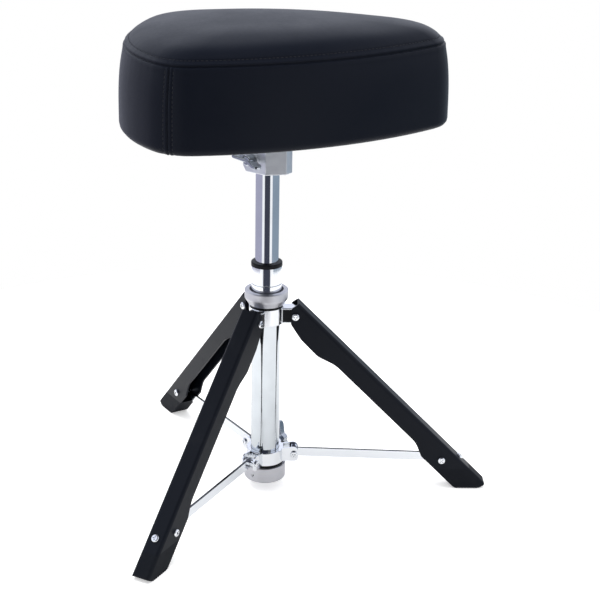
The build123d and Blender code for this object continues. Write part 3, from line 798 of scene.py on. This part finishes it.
def hem_folds(under, s, outline):
    """Gathers where the cover is pulled round under the board, deepest at the corners. under is
    how far in from the lower edge a point is."""
    share = np.clip((under - FOLD_START) / FOLD_RUN, 0, 1) ** FOLD_POWER
    turn = 2 * math.pi * s / outline.length
    corners = SIDE_FOLDS + (1 - SIDE_FOLDS) * outline.bend(s)
    return -FOLD_DEPTH * share * corners * (FOLD_MEAN + uneven_waves(turn, *FOLD_WAVES))


def surface_normals(grid):
    along = np.roll(grid, -1, axis=1) - np.roll(grid, 1, axis=1)
    up = np.gradient(grid, axis=0)
    out = np.cross(along, up)
    return out / np.maximum(np.linalg.norm(out, axis=-1, keepdims=True), 1e-12)


class Cover:
    """The swollen cover, which can be read at any distance round and up it."""

    def __init__(self):
        self.outline = Outline()
        grid, seam_row = cover_grid(self.outline, COVER_COLUMNS)
        grid = swell(grid, seam_row)
        self.grid = grid
        self.rows = row_distances(grid, seam_row)
        self.seams = [self.outline.nearest(place) for place in BAND_SEAMS]
        self.edge_t = self.rows[LOWER_EDGE_ROW]

    def read(self, t, s):
        """Points at the crossings of row distances t and outline distances s."""
        row = np.interp(t, self.rows, np.arange(len(self.rows)))
        column = s / self.outline.length * self.grid.shape[1]
        return between(between(self.grid, row, 0, False), column, 1, True)

    def shaped(self, t, s):
        """The same points with the sewing's relief, and the directions outward there."""
        points = self.read(t, s)
        out = surface_normals(points)
        relief = sewn_relief(t[:, None], s[None, :], self.outline, self.seams)
        relief = relief + hem_folds(self.edge_t - t[:, None], s[None, :], self.outline)
        on_board = t < self.edge_t
        relief[on_board] = np.maximum(relief[on_board], -UNDER_DRAW)
        return points + out * relief[..., None], out


def seat_cushion(cover):
    """The sewn cover with its seams, as one closed mesh."""
    t = fine_steps(cover.rows[0], cover.rows[-1], ROW_STEP, (0, TOP_STITCH), ROW_REACH, ROW_FINE)
    s = fine_steps(0, cover.outline.length, COLUMN_STEP, cover.seams, COLUMN_REACH, COLUMN_FINE)
    points, _ = cover.shaped(t, s[:-1])
    return grid_mesh("seat_cushion", points)


def rods(name, runs, radius):
    """One mesh of short rods with rounded ends. Each run is (points, outward directions), one
    of each for every girth."""
    vertices, faces = [], []
    for points, outward in runs:
        along = points[-1] - points[0]
        along = along / np.linalg.norm(along)
        start = len(vertices)
        for point, out, girth in zip(points, outward, ROD_GIRTHS):
            across = np.cross(along, out)
            across = across / np.linalg.norm(across)
            upward = np.cross(across, along)
            for k in range(ROD_SIDES):
                angle = 2 * math.pi * k / ROD_SIDES
                spoke = across * math.cos(angle) + upward * math.sin(angle)
                vertices.append(tuple(point + spoke * radius * girth))
        last = start + (len(ROD_GIRTHS) - 1) * ROD_SIDES
        for ring in range(start, last, ROD_SIDES):
            for k in range(ROD_SIDES):
                far = (k + 1) % ROD_SIDES
                beyond = ring + ROD_SIDES
                faces.append((ring + k, beyond + k, beyond + far, ring + far))
        faces.append(tuple(range(start, start + ROD_SIDES)))
        faces.append(tuple(reversed(range(last, last + ROD_SIDES))))
    mesh = bpy.data.meshes.new(name)
    mesh.from_pydata(vertices, [], faces)
    return smooth_object(name, mesh)


def stitch_run(cover, t, s):
    """Points along one stitch, which dives into the cover at both ends."""
    points, outward = [], []
    for share, dive in STITCH_STATIONS:
        here_t = t[0] + (t[1] - t[0]) * share
        here_s = s[0] + (s[1] - s[0]) * share
        patch, out = cover.shaped(here_t + NEAR, here_s + NEAR)
        points.append(patch[1, 1] + out[1, 1] * dive * THREAD_R)
        outward.append(out[1, 1])
    return points, outward


def seat_stitching(cover):
    """The top panel's row of stitches and the pair of rows beside each band seam."""
    length = cover.outline.length
    count = round(length / STITCH_PITCH)
    half = STITCH_LENGTH / 2
    runs = []
    for middle in (np.arange(count) + 0.5) * length / count:
        runs.append(stitch_run(cover, (TOP_STITCH, TOP_STITCH), (middle - half, middle + half)))
    lowest = cover.edge_t + BAND_STITCH_SPARE
    for seam in cover.seams:
        for side in (-1, 1):
            place = seam + side * BAND_STITCH
            for middle in np.arange(BAND_STITCH_TOP, lowest, -STITCH_PITCH):
                runs.append(stitch_run(cover, (middle - half, middle + half), (place, place)))
    return rods("seat_stitching", runs, THREAD_R)


def ring_distances(points):
    """Distance from the column's axis of a closed ring of points, by direction."""
    away = points - np.array([AXIS.x, AXIS.y])
    angle = np.arctan2(away[:, 1], away[:, 0])
    order = np.argsort(angle)
    return angle[order], np.linalg.norm(away, axis=1)[order]


def cloth_edges(outline, way):
    """How far from the column's axis the cloth starts and ends, by direction: its hole is an
    oblong turned with the seat, and its outer edge follows the seat's outline."""
    s = np.linspace(0, outline.length, CLOTH_SAMPLES + 1)[:-1]
    angle, far = ring_distances(outline.at(s) - outline.normal(s) * CLOTH_INSET)
    outer = np.interp(way, angle, far, period=2 * math.pi)
    lengthwise = CLOTH_HOLE[0] / np.maximum(np.abs(np.cos(way - SEAT_TURN)), 1e-6)
    crosswise = CLOTH_HOLE[1] / np.maximum(np.abs(np.sin(way - SEAT_TURN)), 1e-6)
    return np.minimum(lengthwise, crosswise), outer


def under_cloth(cover):
    """The dust cloth: it sags a little between its staples and is cut out round the bracket."""
    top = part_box("bottom_cloth")[1].z - CLOTH_THICK - SKIN
    way = np.linspace(-math.pi, math.pi, CLOTH_COLUMNS + 1)[:-1]
    inner, outer = cloth_edges(cover.outline, way)
    staples = cover.outline.length / STAPLE_PITCH
    pull = 0.5 + 0.5 * np.cos(staples * way + 0.6 * np.sin(3 * way))
    shares = np.linspace(0, 1, CLOTH_ROWS)
    layers = []
    for rise, order in ((0.0, shares), (CLOTH_THICK, shares[::-1])):
        for share in order:
            scallop = CLOTH_SCALLOP * (1 - pull) * (share > CLOTH_BORDER)
            reach = inner + (outer - scallop - inner) * share
            sag = CLOTH_SAG * math.sin(math.pi * share) ** CLOTH_SAG_POWER
            crease = CLOTH_CREASE * pull * share**3 * np.sin(math.pi * share)
            x = AXIS.x + reach * np.cos(way)
            y = AXIS.y + reach * np.sin(way)
            layers.append(np.stack([x, y, top - sag + crease + rise], axis=-1))
    return grid_mesh("seat_bottom_cloth", np.array(layers[::-1]), wraps=True)


def cloth_staples(cover):
    """The staples that hold the cloth and the hem to the board."""
    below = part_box("bottom_cloth")[0].z - SKIN
    outline = cover.outline
    count = round(outline.length / STAPLE_PITCH)
    outward = [np.array([0, 0, -1.0])] * len(STAPLE_STATIONS)
    runs = []
    for middle in np.arange(count) * outline.length / count:
        points = []
        for share in STAPLE_STATIONS:
            here = middle + share * STAPLE_HALF
            place = outline.at(here) - outline.normal(here) * STAPLE_INSET
            leg = STAPLE_LEG if abs(share) == 1 else 0
            points.append(np.array([*place, below + leg]))
        runs.append((points, outward))
    return rods("cloth_staples", runs, STAPLE_R)


# --- stage ----------------------------------------------------------------------------------------
def make_camera():
    pitch, yaw, roll = (math.radians(x) for x in (CAMERA_PITCH, CAMERA_YAW, CAMERA_ROLL))
    heading = Vector((math.sin(yaw), math.cos(yaw), 0))
    ahead = heading * math.cos(pitch) - Vector((0, 0, math.sin(pitch)))
    level = Vector((math.cos(yaw), -math.sin(yaw), 0))
    down = ahead.cross(level)
    right = level * math.cos(roll) + down * math.sin(roll)
    up = right.cross(ahead)
    data = bpy.data.cameras.new("camera")
    data.lens = LENS_MM
    data.sensor_width = SENSOR_MM
    data.clip_start = 0.05
    data.clip_end = 50
    camera = bpy.data.objects.new("camera", data)
    turn = Matrix((right, up, -ahead)).transposed().to_4x4()
    camera.matrix_world = Matrix.Translation(AXIS + Vector((0, -CAMERA_BACK, CAMERA_UP))) @ turn
    bpy.context.scene.collection.objects.link(camera)
    bpy.context.scene.camera = camera


def make_world():
    """A studio round the object. Mirrors see a dark front by the camera, two tall bright screens
    beside it, grey walls and a paler wall behind; everything else gets an even pale light, and
    the camera itself sees plain white."""
    world = bpy.data.worlds.new("studio")
    bpy.context.scene.world = world
    tree = Tree(world)
    coordinates = tree.nodes.new("ShaderNodeTexCoord")
    split = tree.add("ShaderNodeSeparateXYZ", Vector=coordinates.outputs["Generated"])
    x, y, z = (split.outputs[k] for k in "XYZ")
    turn = tree.math("ARCTAN2", tree.math("ABSOLUTE", x), tree.math("MULTIPLY", y, -1.0))
    above = tree.ramp(z, *CEILING_EDGE)
    low_side = tree.blend(tree.ramp(x, *SIDE_WALL_EDGE), LEFT_WALL, RIGHT_WALL)
    back = tree.blend(tree.ramp(z, *BACK_WALL_FOOT), low_side, BACK_WALL)
    behind = tree.blend(above, back, CEILING)
    screen_in, screen_out = (
        tree.ramp(turn, *(math.radians(edge) for edge in edges))
        for edges in (SCREEN_START, SCREEN_END)
    )
    bright = tree.blend(tree.ramp(z, *SCREEN_FADE), SCREEN_LOW, SCREEN_HIGH)
    front = tree.blend(above, tree.blend(screen_in, DARK_FRONT, bright), CEILING)
    room = tree.blend(screen_out, front, behind)
    path = tree.nodes.new("ShaderNodeLightPath")
    lit = tree.blend(path.outputs["Is Diffuse Ray"], room, WHITE)
    seen = tree.blend(path.outputs["Is Camera Ray"], lit, WHITE)
    background = tree.add("ShaderNodeBackground", Color=seen, Strength=1.0)
    output = tree.nodes.new("ShaderNodeOutputWorld")
    tree.links.new(background.outputs[0], output.inputs["Surface"])


def make_floor():
    """A pale round table top, cut straight in front of the camera."""
    ring = []
    for angle in np.linspace(0, 2 * math.pi, FLOOR_SIDES + 1)[:-1]:
        y = max(FLOOR_RADIUS * math.sin(angle), FLOOR_FRONT)
        ring.append((AXIS.x + FLOOR_RADIUS * math.cos(angle), AXIS.y + y, -FLOOR_DROP))
    mesh = bpy.data.meshes.new("floor")
    mesh.from_pydata(ring, [], [tuple(range(len(ring)))])
    floor = bpy.data.objects.new("floor", mesh)
    bpy.context.scene.collection.objects.link(floor)
    paint(floor, floor_paint())


def light_stage():
    """One wide soft lamp overhead, which polished metal doesn't mirror."""
    data = bpy.data.lights.new("overhead", "AREA")
    data.shape = "DISK"
    data.size = OVERHEAD_SIZE
    data.energy = OVERHEAD_POWER
    light = bpy.data.objects.new("overhead", data)
    light.location = AXIS + Vector(OVERHEAD)
    target = AXIS + Vector(OVERHEAD_AIM)
    light.rotation_mode = "QUATERNION"
    light.rotation_quaternion = (target - light.location).to_track_quat("-Z", "Y")
    light.visible_camera = False
    light.visible_glossy = False
    bpy.context.scene.collection.objects.link(light)


def show_colours():
    view = bpy.context.scene.view_settings
    view.view_transform = "Standard"
    view.look = "None"
    view.exposure = 0
    view.gamma = 1


# --- making ---------------------------------------------------------------------------------------
make_camera()
looks = paint_cad_nodes()
cover = Cover()

cushion = seat_cushion(cover)
paint(cushion, looks["black_vinyl"])
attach(cushion, "seat")
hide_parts("seat_cover", "seat_foam")

stitching = seat_stitching(cover)
paint(stitching, thread())
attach(stitching, "seat")

cloth = under_cloth(cover)
paint(cloth, looks["dust_cloth"])
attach(cloth, "seat")
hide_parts("bottom_cloth")

staples = cloth_staples(cover)
paint(staples, looks["zinc_steel"])
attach(staples, "seat")

make_world()
make_floor()
light_stage()
show_colours()
